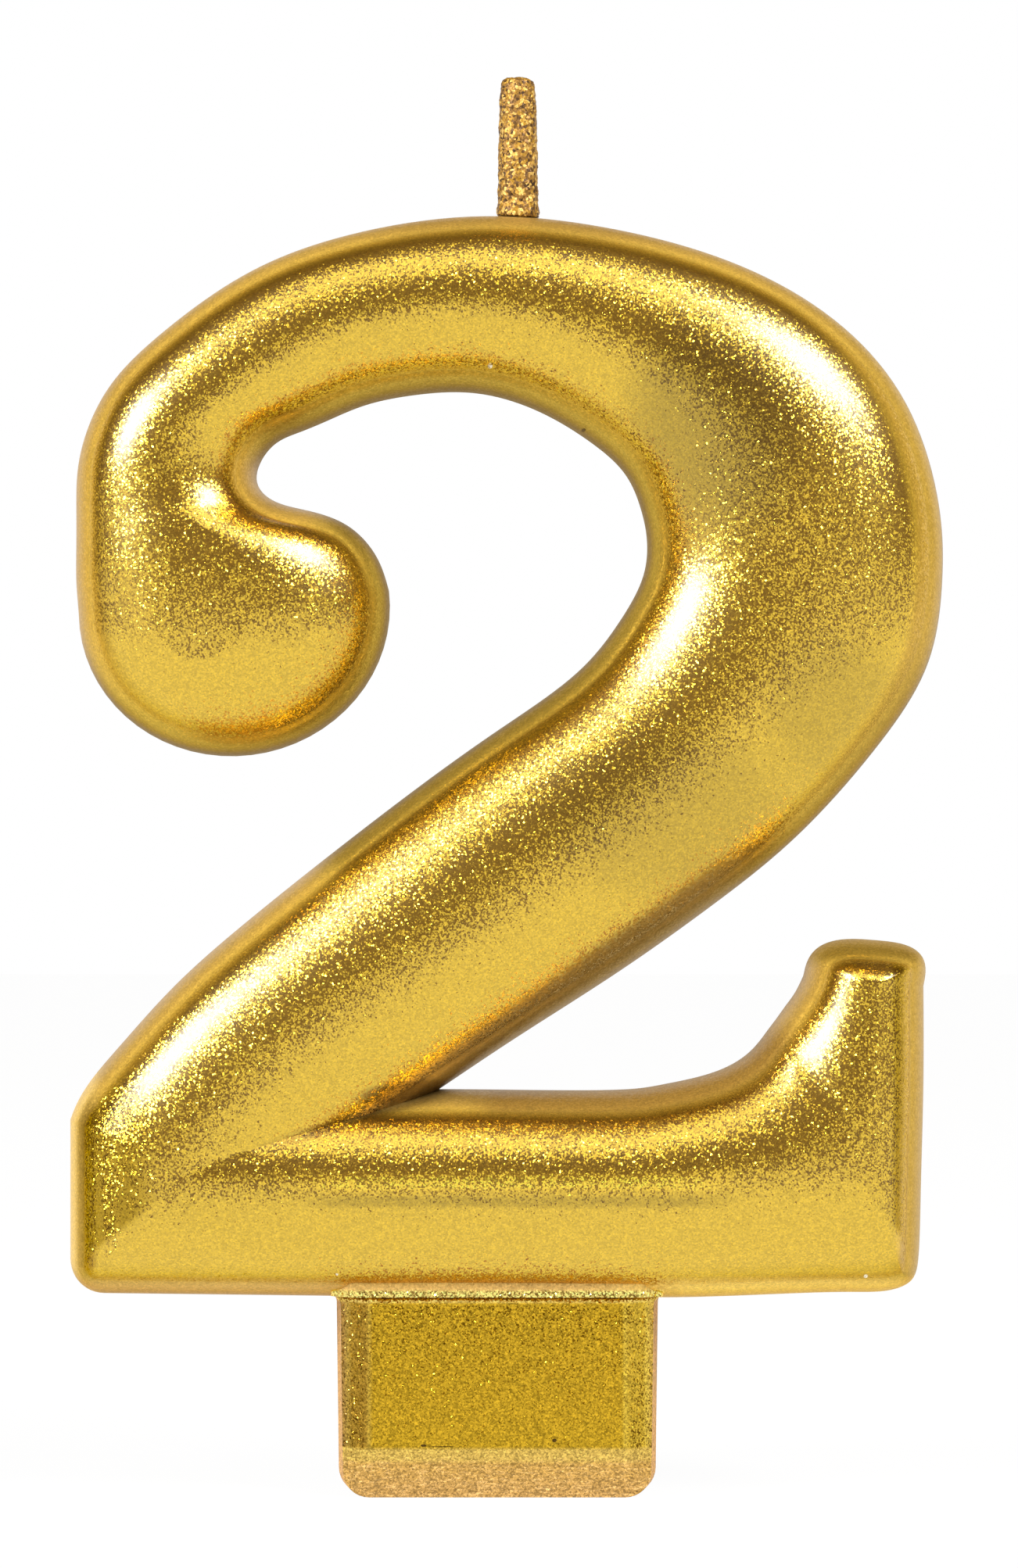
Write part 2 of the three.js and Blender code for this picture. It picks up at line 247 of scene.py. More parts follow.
# %% [markdown]
# The lamps are area lights, because a highlight mirrors the shape of its lamp. Each is placed by
# two angles, as the camera sees them: round the camera's axis, and away from it. The power comes
# from the radiance and the area, so a lamp stays as bright to look at when its size changes. A
# third, weak one lies above, and everything else that the gold mirrors is a dim, warm room.

# %% Lamps and room
lamp_distance = 700 * MM
lamp_target = Vector((0, 0, 40 * MM))
# name, azimuth and angle off the axis in degrees, width and height, radiance
lamps = [
    ("lamp_left", 150, 62, (230 * MM, 230 * MM), 42),
    ("lamp_right", 48, 62, (260 * MM, 260 * MM), 34),
    ("lamp_above", 95, 58, (700 * MM, 380 * MM), 1.4),
]
warm_dark = (0.23, 0.165, 0.09, 1)


def softbox(name, azimuth, off_axis, size, radiance):
    """A lamp that looks at the candle, placed by its angles as the camera sees them."""
    sideways = math.sin(math.radians(off_axis))
    aim = Vector((
        sideways * math.cos(math.radians(azimuth)),
        -math.cos(math.radians(off_axis)),
        sideways * math.sin(math.radians(azimuth)),
    ))
    light = bpy.data.lights.new(name, "AREA")
    light.shape = "RECTANGLE"
    light.size, light.size_y = size
    light.energy = radiance * math.pi * size[0] * size[1]
    lamp = bpy.data.objects.new(name, light)
    lamp.location = aim * lamp_distance + lamp_target
    lamp.rotation_euler = aim.to_track_quat("Z", "Y").to_euler()
    bpy.context.scene.collection.objects.link(lamp)


for name, azimuth, off_axis, size, radiance in lamps:
    softbox(name, azimuth, off_axis, size, radiance)

room = bpy.data.worlds.new("room")
room.use_nodes = True
room.node_tree.nodes["Background"].inputs["Color"].default_value = warm_dark
room.node_tree.nodes["Background"].inputs["Strength"].default_value = 1.0
bpy.context.scene.world = room
bpy.context.scene.view_settings.view_transform = "Standard"
print(f"{len(lamps)} lamps and a dim, warm room")

# %% [markdown]
# ## The strokes of the 2
# A font's 2 is drawn with two strokes, and the casting is built the same way: one stroke runs
# from the ball over the arch and the bowl down the diagonal, the other along the bar and up into
# the serif. A stroke is a loft. Two rails follow its outer and inner edge, a crest runs halfway
# between them, and a section stands on each chord. The stations are the ones of the CAD model.

# %% Stations of both strokes, in millimetres above the underside of the bar
tab_height = 11.7
arch_top = 62.6
ball_depth, hook_depth, arch_depth, bowl_depth = 6.8, 5.9, 5.9, 6.8
diagonal_depth, bar_depth, serif_depth = 6.6, 6.2, 5.4
bar_left, bar_right, bar_height, bar_sag = -25.3, 24.3, 11.8, 0.3
middle_crest, bar_crest, serif_crest = 0.5, 0.42, 0.53
ridge_end = bar_height * (1 - bar_crest)
heel_left = bar_left - 0.5
serif_height, serif_width, serif_rise, serif_slope = 20.5, 7, 2.4, 0.3

# outer edge x, z, inner edge x, z, half thickness
arch_stations = [
    (-24.8, -24.0, -6.8, -21.8, ball_depth),
    (-24.9, -22.6, -7.5, -19.85, ball_depth),
    (-25.0, -21.2, -9.2, -18.0, ball_depth),
    (-25.0, -19.2, -11.6, -17.1, (ball_depth + hook_depth) / 2),
    (-25.0, -17.0, -13.6, -16.5, hook_depth),
    (-24.9, -14.6, -14.5, -15.3, hook_depth),
    (-24.2, -12.0, -13.6, -13.4, hook_depth),
    (-22.7, -9.4, -12.1, -12.6, hook_depth),
    (-19.8, -6.6, -10.4, -11.9, hook_depth),
    (-15.4, -3.5, -8.2, -11.0, arch_depth),
    (-10.0, -1.3, -5.3, -10.4, arch_depth),
    (-2.1, 0, -1.7, -10.3, arch_depth),
    (5.6, -0.6, 2.0, -11.4, arch_depth),
    (13.0, -2.6, 5.0, -13.2, (arch_depth + bowl_depth) / 2),
    (19.1, -6.0, 7.0, -15.1, bowl_depth),
    (23.3, -10.9, 7.9, -17.2, bowl_depth),
    (25.2, -16.8, 8.2, -18.8, bowl_depth),
    (25.4, -21.1, 8.0, -20.9, bowl_depth),
    (24.6, -25.9, 6.6, -23.6, bowl_depth),
    (21.8, -30.6, 4.2, -26.5, bowl_depth),
]
diagonal_stations = [
    (17.0, 26.6, -0.3, 32.8, diagonal_depth),
    (12.0, 22.5, -4.8, 29.6, diagonal_depth),
    (6.5, 18.6, -9.9, 25.7, diagonal_depth),
    (0.6, 14.8, -14.9, 21.7, diagonal_depth),
    (-3.6, 12.0, -19.2, 17.9, (diagonal_depth + bar_depth) / 2),
    (-7.6, 9.3, -22.4, 14.4, bar_depth),
    (-11.0, 6.6, -24.5, 11.8, bar_depth),
    (-13.2, 3.4, (bar_left + heel_left) / 2, 9.2, bar_depth),
    (-14.2, -1.0, heel_left, 5.0, bar_depth),
    (-14.6, -6.0, heel_left, 0, bar_depth),
]
# then the crest's place, as a share of the way from the upper edge to the lower
turn_stations = [
    (-15.1, 0.3, -13.8, -bar_sag, bar_depth, 0.42),
    (-12.2, 1.0, -9.3, -bar_sag / 2, bar_depth, 0.43),
    (-10.1, 2.2, -4.5, 0, bar_depth, 0.46),
    (-9.1, 3.4, -2.0, 0.1, bar_depth, 0.49),
    (-8.8, 3.8, -0.7, 0.7, bar_depth, 0.51),
    (-8.5, 4.2, -0.3, 1.9, bar_depth, 0.53),
    (-8.0, 4.9, -0.15, 6, bar_depth, 0.56),
    (-7.5, 5.6, 0, 12, (bar_depth + serif_depth) / 2, 0.56),
]
bar_start = bar_left + ridge_end
bar_tip = bar_left + 1.1
serif_chord = serif_height - serif_rise
main_stations = [
    (ox, arch_top + oz, ix, arch_top + iz, depth, middle_crest)
    for ox, oz, ix, iz, depth in arch_stations
] + [(*station, middle_crest) for station in diagonal_stations]
base_stations = [
    (bar_start, bar_height, bar_start, -1.5 * bar_sag, bar_depth, bar_crest),
    (-10.6, bar_height, -10.6, -bar_sag, bar_depth, bar_crest),
    (-2.0, bar_height, -2.0, -0.8 * bar_sag, bar_depth, bar_crest),
    (7.0, bar_height, 7.0, -bar_sag, bar_depth, bar_crest),
    *[
        (bar_right + ux, bar_height + uz, bar_right + lx, lz, depth, crest)
        for ux, uz, lx, lz, depth, crest in turn_stations
    ],
    (bar_right - serif_width, serif_chord + serif_slope, bar_right, serif_chord - serif_slope,
     serif_depth, serif_crest),
]
ball_end = {"reach": (1.0, -8.45), "squareness": 2}
heel_end = {"reach": (0, -4), "squareness": 2}
bar_end = {"reach": (bar_tip - bar_start, 0.2), "squareness": 2}
serif_end = {"reach": (0.5, serif_rise), "squareness": 3}
print(f"{len(main_stations)} stations on the main stroke, {len(base_stations)} on the base")

# %% [markdown]
# A rail has to be smooth in its curvature as well as in its direction, or a mirror finish shows
# a break at each station. The curve is the cubic spline through the stations, with its parameter
# spread by the square root of each chord's length, which keeps close stations from overshooting.

# %% Smooth rails
steps_per_station = 9


def spline(points, steps):
    """A cubic spline through the points, with straight ends."""
    points = np.asarray(points, float)
    count = len(points)
    chords = np.linalg.norm(np.diff(points[:, :2], axis=0), axis=1) ** 0.5
    matrix = np.eye(count)
    goal = np.zeros_like(points)
    for i in range(1, count - 1):
        before, after = chords[i - 1], chords[i]
        matrix[i, i - 1 : i + 2] = before, 2 * (before + after), after
        rise = (points[i + 1] - points[i]) / after - (points[i] - points[i - 1]) / before
        goal[i] = 6 * rise
    bend = np.linalg.solve(matrix, goal)
    curve = []
    for i in range(count - 1):
        for step in range(steps):
            t = step / steps
            span = chords[i] ** 2 / 6
            curve.append(
                (1 - t) * points[i] + t * points[i + 1]
                + ((1 - t) ** 3 - (1 - t)) * span * bend[i]
                + (t**3 - t) * span * bend[i + 1]
            )
    curve.append(points[-1])
    return np.array(curve)


def eased(values, steps):
    """One value for each section, eased over two stations each way."""
    share = np.linspace(0, len(values) - 1, (len(values) - 1) * steps + 1)
    plain = np.interp(share, np.arange(len(values)), values)
    window = np.hanning(4 * steps + 1)
    return np.convolve(np.pad(plain, 2 * steps, "edge"), window / window.sum(), "valid")


def rails(stations, steps):
    """Outer edge, inner edge, crest and half thickness along a stroke, in x and z."""
    table = np.array(stations, float)
    table[:, [1, 3]] += tab_height
    outer = spline(table[:, 0:2], steps)
    inner = spline(table[:, 2:4], steps)
    crest = outer + (inner - outer) * eased(table[:, 5], steps)[:, None]
    return outer, inner, crest, eased(table[:, 4], steps)


for name, stations in (("main", main_stations), ("base", base_stations)):
    outer, inner, crest, depth = rails(stations, steps_per_station)
    length = np.linalg.norm(np.diff(crest, axis=0), axis=1).sum()
    print(f"{name} stroke: {len(outer)} sections over {length:.0f} mm")

# %% [markdown]
# Each end of a stroke is closed round the last crest point. The sections turn about that point
# while their edges follow a superellipse: a power of 2 gives the ball its round end, and a higher
# power gives the bar its square end with a hip line running to each corner.

# %% Sections, from tip to tip
end_steps = 16


def end_sections(outer, inner, crest, depth, end):
    power = 2 / end["squareness"]
    for step in range(1, end_steps + 1):
        angle = math.pi / 2 * step / end_steps
        across = max(math.cos(angle), 0) ** power if step < end_steps else 0
        along = math.sin(angle) ** power
        shift = crest + along * np.array(end["reach"])
        yield shift + across * (outer - crest), shift + across * (inner - crest), crest, depth


def stroke_sections(stations, first_end, last_end, steps):
    """Outer edge, inner edge, crest and half thickness of every section."""
    middle = list(zip(*rails(stations, steps)))
    first = list(end_sections(*middle[0], first_end))[::-1]
    last = list(end_sections(*middle[-1], last_end))
    columns = zip(*(first + middle + last))
    return [np.array(column) for column in columns]


main_sections = stroke_sections(main_stations, ball_end, heel_end, steps_per_station)
base_sections = stroke_sections(base_stations, bar_end, serif_end, steps_per_station)
print(f"{len(main_sections[0])} and {len(base_sections[0])} sections with their ends")

# %% [markdown]
# The section has two parts. From the parting plane a band leans inwards and rounds over, as the
# draft of a mould asks. At its top is a soft crease, and from there the dome rises to the crest.
# The crease is the dark line that the photograph shows just inside the edge, all the way round.
# The band keeps an even width, so its lines are the outline itself, moved inwards.

# %% Band and dome
# how far inwards and how high, in millimetres
band_profile = [(0, 0), (0.1, 1.0), (0.24, 1.9), (0.44, 2.6), (0.68, 3.12), (0.9, 3.42)]
crease_inset, crease_depth = 1.05, 3.58
dome_fullness = 0.95
dome_rows = 13


def dome_profile():
    """Steps from the crease to just below the crest: distance from the crest, height, as shares."""
    flat = math.sqrt(1 - dome_fullness**2)
    for row in range(dome_rows):
        from_crest = math.cos(math.pi / 2 * row / dome_rows)
        yield from_crest, (math.sqrt(1 - (dome_fullness * from_crest) ** 2) - flat) / (1 - flat)


def inset_edges(outer, inner, distance):
    """Both edges of a stroke once its whole outline is moved inwards by an even distance."""
    outline = np.concatenate([outer, inner[-2:0:-1]])
    into = outline - np.roll(outline, 1, axis=0)
    out = np.roll(into, -1, axis=0)
    into /= np.linalg.norm(into, axis=1, keepdims=True)
    out /= np.linalg.norm(out, axis=1, keepdims=True)
    along = into + out
    along /= np.linalg.norm(along, axis=1, keepdims=True)
    before, after = outline, np.roll(outline, -1, axis=0)
    area = (before[:, 0] * after[:, 1] - after[:, 0] * before[:, 1]).sum()
    inward = np.stack([-along[:, 1], along[:, 0]], axis=1) * np.sign(area)
    moved = outline + inward * (distance / (along * out).sum(axis=1))[:, None]
    back = np.concatenate([[moved[0]], moved[: len(outer) - 1 : -1], [moved[len(outer) - 1]]])
    return moved[: len(outer)], back


def front_rows(sections, shrink):
    """Rows of points from the outer edge over the crest to the inner edge, as x, y, z."""
    outer, inner, crest, depth = sections
    sides = {"outer": [], "inner": []}
    for inset, height in band_profile:
        edges = inset_edges(outer, inner, inset + shrink)
        level = max(height - shrink, 0) if height else 0
        for side, edge in zip(sides.values(), edges):
            side.append(np.column_stack([edge[:, 0], np.full(len(edge), -level), edge[:, 1]]))
    feet = inset_edges(outer, inner, crease_inset + shrink)
    foot = crease_depth - shrink
    for from_crest, share in dome_profile():
        level = foot + (depth - shrink - foot) * share
        for side, edge in zip(sides.values(), feet):
            place = crest + (edge - crest) * from_crest
            side.append(np.column_stack([place[:, 0], -level, place[:, 1]]))
    top = np.column_stack([crest[:, 0], -(depth - shrink), crest[:, 1]])
    return np.array(sides["outer"] + [top] + sides["inner"][::-1])


rows = front_rows(main_sections, 0)
print(f"a section has {len(rows)} points on its front")

# %% [markdown]
# The rows and sections form a grid, so the stroke starts as a flat grid mesh whose points are
# moved to their places. The two long sides of the grid meet in a seam and its two short sides
# close into the tips, where the doubled points are merged.

# %% From rows of points to a closed stroke
merge_distance, sliver = 0.002 * MM, 0.001 * MM


def moved_grid(rows):
    """A grid mesh whose points go to rows[row, column]."""
    shape = bmesh.new()
    last_row, last_column = rows.shape[0] - 1, rows.shape[1] - 1
    bmesh.ops.create_grid(shape, x_segments=last_row, y_segments=last_column, size=0.5)
    for vertex in shape.verts:
        row = round((vertex.co.x + 0.5) * last_row)
        column = round((vertex.co.y + 0.5) * last_column)
        vertex.co = rows[row, column] * MM
    bmesh.ops.remove_doubles(shape, verts=shape.verts, dist=merge_distance)
    bmesh.ops.dissolve_degenerate(shape, edges=shape.edges, dist=sliver)
    bmesh.ops.recalc_face_normals(shape, faces=shape.faces)
    return shape


def mesh_object(name, shape):
    mesh = bpy.data.meshes.new(name)
    shape.to_mesh(mesh)
    shape.free()
    made = bpy.data.objects.new(name, mesh)
    bpy.context.scene.collection.objects.link(made)
    return made


def stroke(name, sections, shrink):
    front = front_rows(sections, shrink)
    back = front[-2:0:-1] * (1, -1, 1)
    return mesh_object(name, moved_grid(np.concatenate([front, back, front[:1]])))


main_stroke = stroke("main_stroke", main_sections, 0)
base_stroke = stroke("base_stroke", base_sections, 0)
for piece in (main_stroke, base_stroke):
    loose = bmesh.new()
    loose.from_mesh(piece.data)
    open_edges = sum(not edge.is_manifold for edge in loose.edges)
    print(f"{piece.name}: {len(loose.faces)} faces, {open_edges} open edges")
    loose.free()

# %% [markdown]
# Where the diagonal turns into the bar, the two strokes run through each other. Joined, they meet
# in the valley that the photograph shows, but the main stroke also comes out under the bar. A
# block with the outline of the lower left corner, and with the same band and dome along it,
# trims it: what both have in common keeps the block's slopes, which meet in a hip line.

# %% Corner block
corner_radius = 2.0
corner_steps = 12
block_margin = 0.04
block_slant = 0.012
block_far = 90
block_rise = (20, 8)


def block_level(inset, depth, shrink):
    """Outline of the block at one depth: rounded at its lower left, with far, plain corners."""
    left = bar_left - block_margin + inset + shrink
    bottom = tab_height - block_margin + inset + shrink
    radius = max(corner_radius - inset - shrink, 0)
    turn = [math.radians(180 + 90 * i / corner_steps) for i in range(corner_steps + 1)]
    corner = [
        (left + radius + radius * math.cos(a), bottom + radius + radius * math.sin(a)) for a in turn
    ]
    outline = [(left, block_far), *corner, (block_far, bottom), (block_far, block_far)]
    level = depth - shrink if depth else 0
    return [
        (x, -level, z - block_slant * (x - bar_left)) for x, z in [*outline, outline[0]]
    ]


def corner_block(name, shrink):
    top = bar_depth + block_margin
    dome = [
        (
            ridge_end + (crease_inset - ridge_end) * from_crest,
            crease_depth + (top - crease_depth) * share,
        )
        for from_crest, share in dome_profile()
    ]
    profile = [*band_profile, *dome, (ridge_end, top), block_rise]
    front = [block_level(inset, depth, shrink) for inset, depth in profile]
    back = np.array(front[1:]) * (1, -1, 1)
    shape = moved_grid(np.concatenate([np.array(front)[::-1], back]))
    bmesh.ops.holes_fill(shape, edges=[edge for edge in shape.edges if edge.is_boundary])
    bmesh.ops.recalc_face_normals(shape, faces=shape.faces)
    return mesh_object(name, shape)


trim = corner_block("corner_block", 0)
print(f"corner block: {len(trim.data.polygons)} faces")

# %% [markdown]
# ## The tab
# The tab is pushed into the cake. Its front is a flat panel between two narrow slopes at the
# sides and a taller one at the toe, its lower corners are rounded, and a small fillet runs into
# the underside of the bar. Like the strokes, it is a stack of level sections.

# %% Tab
tab_x, tab_half_width, tab_taper = -0.5, 9.35, 0.15
tab_depth, tab_edge_depth, tab_edge_draft = 3.1, 2.1, 0.3
tab_side_bevel, tab_toe_height = 1.25, 2.9
tab_corner, tab_fillet = 1.5, 0.55
tab_corner_rows, tab_fillet_rows = 8, 6


def tab_level(height, shrink):
    corner = tab_corner - shrink
    into_corner = max(corner - (height - shrink), 0)
    rounding = corner - math.sqrt(corner**2 - into_corner**2)
    to_fillet = min(max(height - (tab_height - tab_fillet), 0), tab_fillet)
    flare = tab_fillet - math.sqrt(tab_fillet**2 - to_fillet**2)
    share = min(height / tab_toe_height, 1)
    taper = tab_taper * max(1 - height / tab_height, 0)
    half = tab_half_width - taper - shrink - rounding + flare
    face = tab_edge_depth + (tab_depth - tab_edge_depth) * share - shrink + flare
    edge = tab_edge_depth - shrink + flare
    drafted = half - tab_edge_draft
    panel = drafted - tab_side_bevel * share
    quarter = [(half, 0), (drafted, -edge), (panel, -face)]
    front = quarter + [(-x, y) for x, y in quarter[::-1]]
    back = [(x, -y) for x, y in front[-2:0:-1]]
    return [(tab_x + x, y, height) for x, y in front + back + front[:1]]


def tab_piece(name, shrink):
    turns = [math.pi / 2 * i / tab_corner_rows for i in range(tab_corner_rows)]
    corner = [shrink + (tab_corner - shrink) * (1 - math.cos(turn)) for turn in turns]
    middle = [tab_corner, tab_toe_height, tab_height - tab_fillet]
    turns = [math.pi / 2 * i / tab_fillet_rows for i in range(1, tab_fillet_rows + 1)]
    fillet = [tab_height - tab_fillet * (1 - math.sin(turn)) for turn in turns]
    heights = corner + middle + fillet + [tab_height + bar_height / 4]
    shape = moved_grid(np.array([tab_level(height, shrink) for height in heights]))
    rims = [edge for edge in shape.edges if edge.is_boundary]
    bmesh.ops.holes_fill(shape, edges=rims)
    bmesh.ops.recalc_face_normals(shape, faces=shape.faces)
    return mesh_object(name, shape)


tab = tab_piece("tab", 0)
print(f"tab: {len(tab.data.polygons)} faces")

# %% [markdown]
# ## One skin
# The three solids are joined into one, as the casting is, and the lacquer's inside is cut out of
# it. The same strokes, drawn in by the thickness of the lacquer, give the inside. Its way out at
# the tab's sole is where the candle stood while it dried, and the wick comes through the crown.

# %% Joining, cutting and plain shapes
wick_x, wick_radius, wick_room = 0.7, 0.65, 0.15
wick_sides = 48


def combine(piece, others, operation):
    """Joins or cuts the piece with others, which are used up."""
    for other in others:
        change = piece.modifiers.new("change", "BOOLEAN")
        change.object = other
        change.operation = operation
        change.solver = "MANIFOLD"
        with bpy.context.temp_override(object=piece, active_object=piece):
            bpy.ops.object.modifier_apply(modifier=change.name)
        bpy.data.objects.remove(other)


def block(name, size, middle):
    shape = bmesh.new()
    bmesh.ops.create_cube(shape, size=1)
    bmesh.ops.scale(shape, vec=[side * MM for side in size], verts=shape.verts)
    bmesh.ops.translate(shape, vec=[place * MM for place in middle], verts=shape.verts)
    return mesh_object(name, shape)


def rod(name, radius, bottom, top):
    shape = bmesh.new()
    bmesh.ops.create_cone(
        shape, cap_ends=True, segments=wick_sides, radius1=radius * MM, radius2=radius * MM,
        depth=(top - bottom) * MM,
    )
    middle = (wick_x * MM, 0, (top + bottom) / 2 * MM)
    bmesh.ops.translate(shape, vec=middle, verts=shape.verts)
    return mesh_object(name, shape)


print(f"the wick's way is {2 * (wick_radius + wick_room):.1f} mm wide")

# %% [markdown]
# The outside comes first: the strokes are joined, the corner block trims them, and the tab is
# added. The inside is built in the same order, with fewer steps, since nobody sees it. Its mouth
# at the sole and its way for the wick reach past the outside, so that they open the skin.

# %% Join the strokes, hollow them and open the skin
skin_thickness = 0.22
patch_margin = 0.3
inner_steps = 3
mouth_height, way_below, way_above = 2, 3, 2

skin = main_stroke
skin.name = "lacquer_skin"
combine(skin, [base_stroke], "UNION")
combine(skin, [trim], "INTERSECT")
combine(skin, [tab], "UNION")
print(f"outside of the skin: {len(skin.data.polygons)} faces")

crown = tab_height + arch_top
inside = stroke(
    "inside", stroke_sections(main_stations, ball_end, heel_end, inner_steps), skin_thickness
)
mouth_width = 2 * (tab_half_width - tab_taper - tab_corner - patch_margin)
mouth_depth = 2 * (tab_edge_depth - patch_margin)
inside_base = stroke(
    "inside_base", stroke_sections(base_stations, bar_end, serif_end, inner_steps), skin_thickness
)
combine(inside, [inside_base], "UNION")
combine(inside, [corner_block("inside_block", skin_thickness)], "INTERSECT")
combine(
    inside,
    [
        tab_piece("inside_tab", skin_thickness),
        block("mouth", (mouth_width, mouth_depth, mouth_height), (tab_x, 0, mouth_height / 4)),
        rod("wick_way", wick_radius + wick_room, crown - way_below, crown + way_above),
    ],
    "UNION",
)
combine(skin, [inside], "DIFFERENCE")
print(f"skin: {len(skin.data.polygons)} faces")

# %% [markdown]
# The lacquer flows into one smooth film, so the faces are shaded smooth. Only edges that turn by
# more than a set angle stay sharp, such as the valley and the edges of the tab. The finished skin
# then stands in for the CAD's gold skin.

# %% Smooth shading with the creases kept
sharp_from = math.radians(34)
skin.data.shade_smooth()
skin.data.set_sharp_from_angle(angle=sharp_from)
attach(skin, "root")
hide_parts("gold_skin")
sharp_marks = skin.data.attributes["sharp_edge"].data
print(f"{sum(mark.value for mark in sharp_marks)} of {len(skin.data.edges)} edges stay sharp")

# %% [markdown]
# ## The dipped wick
# The wick's stub was dipped in gold and is coarse and lumpy, thicker at its foot, where the dip
# ran down into an uneven lip, and blunt at its end. The cap is a sleeve closed at the top: its
# outline and its bore are turned about the wick, and noise moves the outside in and out.

# %% Wick cap
cap_gap = 0.03
cap_highest = 82.45
cap_bore = wick_radius + wick_room
# radius and height above the crown, in millimetres
cap_outline = [
    (1.2, 0), (1.24, 0.3), (1.17, 0.85), (1.14, 2.4), (1.11, 4.5), (1.06, 6.7), (1.0, 7.5),
    (0.9, 7.85), (0.64, 8.0), (0.3, 8.06), (0, 8.07),
]
cap_roof = 7.5
cap_rows, cap_columns = 96, 76
lump_size, lump_height = 0.55, 0.06
grain_size, grain_height = 0.17, 0.06
lip_length, lip_rise, lip_waves = 0.9, 0.07, 2.2


def grainy(point):
    """How far the dip stands out at a point, in millimetres."""
    lumps = noise.noise(point / lump_size) * lump_height
    return lumps + noise.noise(point / grain_size) * grain_height


def seat(around):
    """Height of the skin under the cap's foot, and where the ragged lip ends, to one side."""
    below = around * cap_outline[1][0] + Vector((wick_x, 0, crown + 5))
    hit, place, _, _ = skin.ray_cast(below * MM, (0, 0, -1))
    ragged = (0.5 + 0.5 * noise.noise(around * lip_waves)) * lip_rise
    return (place.z / MM if hit else crown) + cap_gap + ragged


def wick_sleeve():
    outline = np.array(cap_outline)
    run = np.concatenate([[0], np.cumsum(np.linalg.norm(np.diff(outline, axis=0), axis=1))])
    even = np.linspace(0, run[-1], cap_rows)
    radii, heights = (np.interp(even, run, outline[:, i]) for i in (0, 1))
    turns = [2 * math.pi * (step % cap_columns) / cap_columns for step in range(cap_columns + 1)]
    sides = [Vector((math.cos(turn), math.sin(turn), 0)) for turn in turns]
    feet = [seat(around) for around in sides]
    rows = []
    bore = [(0, cap_roof), (cap_bore, cap_roof), (cap_bore, 0)]
    for radius, height in [*bore, *zip(radii, heights)]:
        outside = len(rows) >= len(bore)
        row = []
        for around, foot in zip(sides, feet):
            low = max(1 - height / lip_length, 0)
            up = crown + height + (foot - crown) * low
            out = grainy(around * radius + Vector((0, 0, height))) if outside and radius else 0
            lift = out if height > cap_roof else 0
            place = around * (radius + out)
            row.append((wick_x + place.x, place.y, min(up + lift, cap_highest)))
        rows.append(row)
    return mesh_object("dipped_wick_end", moved_grid(np.array(rows)))


bpy.context.view_layer.update()
sleeve = wick_sleeve()
sleeve.data.shade_smooth()
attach(sleeve, "root")
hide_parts("wick_cap")
print(f"wick cap: {len(sleeve.data.polygons)} faces")

# %% [markdown]
# ## Gold lacquer
# The lacquer holds fine flakes of metal. Where a slope mirrors the even white floor it looks
# smooth, and where it mirrors the edge of a lamp it breaks up into sparks, because each flake
# tilts its own way. So the sparkle is mostly in the normals: every cell of a Voronoi texture is a
# flake, and its random colour is the tilt. A few larger flakes tilt much further than the rest.

# %% Flakes
flake_scale, flake_tilt, flake_tone = 11000.0, 0.3, 0.34
spark_scale, spark_tilt, spark_tone = 9600.0, 0.4, 0.16
spark_chance = (0.7, 0.78)
least_tone = 0.8


def flake_normal(finish, place, tilt):
    """A normal that turns from flake to flake, and how bright each flake is."""
    vector = lambda operation, inputs: finish.node(
        "ShaderNodeVectorMath", {"operation": operation}, inputs
    )
    middle = (0.5, 0.5, 0.5)
    flake = finish.cells(place, flake_scale)
    spark = finish.cells(place, spark_scale)
    chosen = finish.step(finish.channel(spark, "Green"), *spark_chance)
    small = vector("SUBTRACT", {0: flake, 1: middle})
    small = vector("SCALE", {0: small, "Scale": tilt * flake_tilt})
    large = vector("SUBTRACT", {0: spark, 1: middle})
    large = vector("SCALE", {0: large, "Scale": chosen * tilt * spark_tilt})
    normal = finish.node("ShaderNodeNewGeometry", output="Normal")
    tilted = vector("ADD", {0: normal, 1: vector("ADD", {0: small, 1: large})})
    tone = finish.channel(flake, "Red") * flake_tone + chosen * spark_tone + least_tone
    return vector("NORMALIZE", {0: tilted}), tone


print(f"flakes of {1000 / flake_scale:.2f} mm, sparks of {1000 / spark_scale:.2f} mm")

# %% [markdown]
# The lacquer was sprayed from the front and from behind, so the band along the parting plane got
# the least of it: there it is tan and dull, and above the crease it turns to full gold. The depth
# from the parting plane is the Y coordinate, so a colour ramp on it paints each line along the
# edge. One ramp is for the slopes that face up or sideways, with painted shade at the crease, and
# one for the undersides, with painted shade at the rim and the crease and a painted reflection of
# the bright floor between. On the tab, a ramp runs across from the middle of the panel to the rim,
# with painted highlight lines at the bevel's edges, and another runs up the toe.

# %% Tints of the lacquer
full_gold = (0.76, 0.5, 0.04)
band_reach, across_reach, toe_reach = 5.0, 10.0, 4.0
# faces that look up or sideways: the band, then from 3.7 to 4.3 mm a painted shade at the crease
band_tints = [
    (0.0, (0.33, 0.21, 0.075)), (1.2, (0.35, 0.22, 0.065)), (2.5, (0.35, 0.22, 0.052)),
    (3.2, (0.38, 0.235, 0.042)), (3.7, (0.48, 0.3, 0.04)), (4.0, (0.48, 0.28, 0.03)),
    (4.3, (0.5, 0.3, 0.028)), (5.0, full_gold),
]
# undersides: painted shade at the rim and at 3.9 mm by the crease, a painted reflection of the
# floor between
painted_underside_tints = [
    (0.0, (0.17, 0.12, 0.045)), (1.2, (0.2, 0.135, 0.045)), (2.1, (0.34, 0.235, 0.05)),
    (3.0, (0.52, 0.36, 0.06)), (3.4, (0.58, 0.39, 0.055)), (3.9, (0.54, 0.33, 0.04)),
    (4.3, (0.7, 0.46, 0.04)), (5.0, full_gold),
]
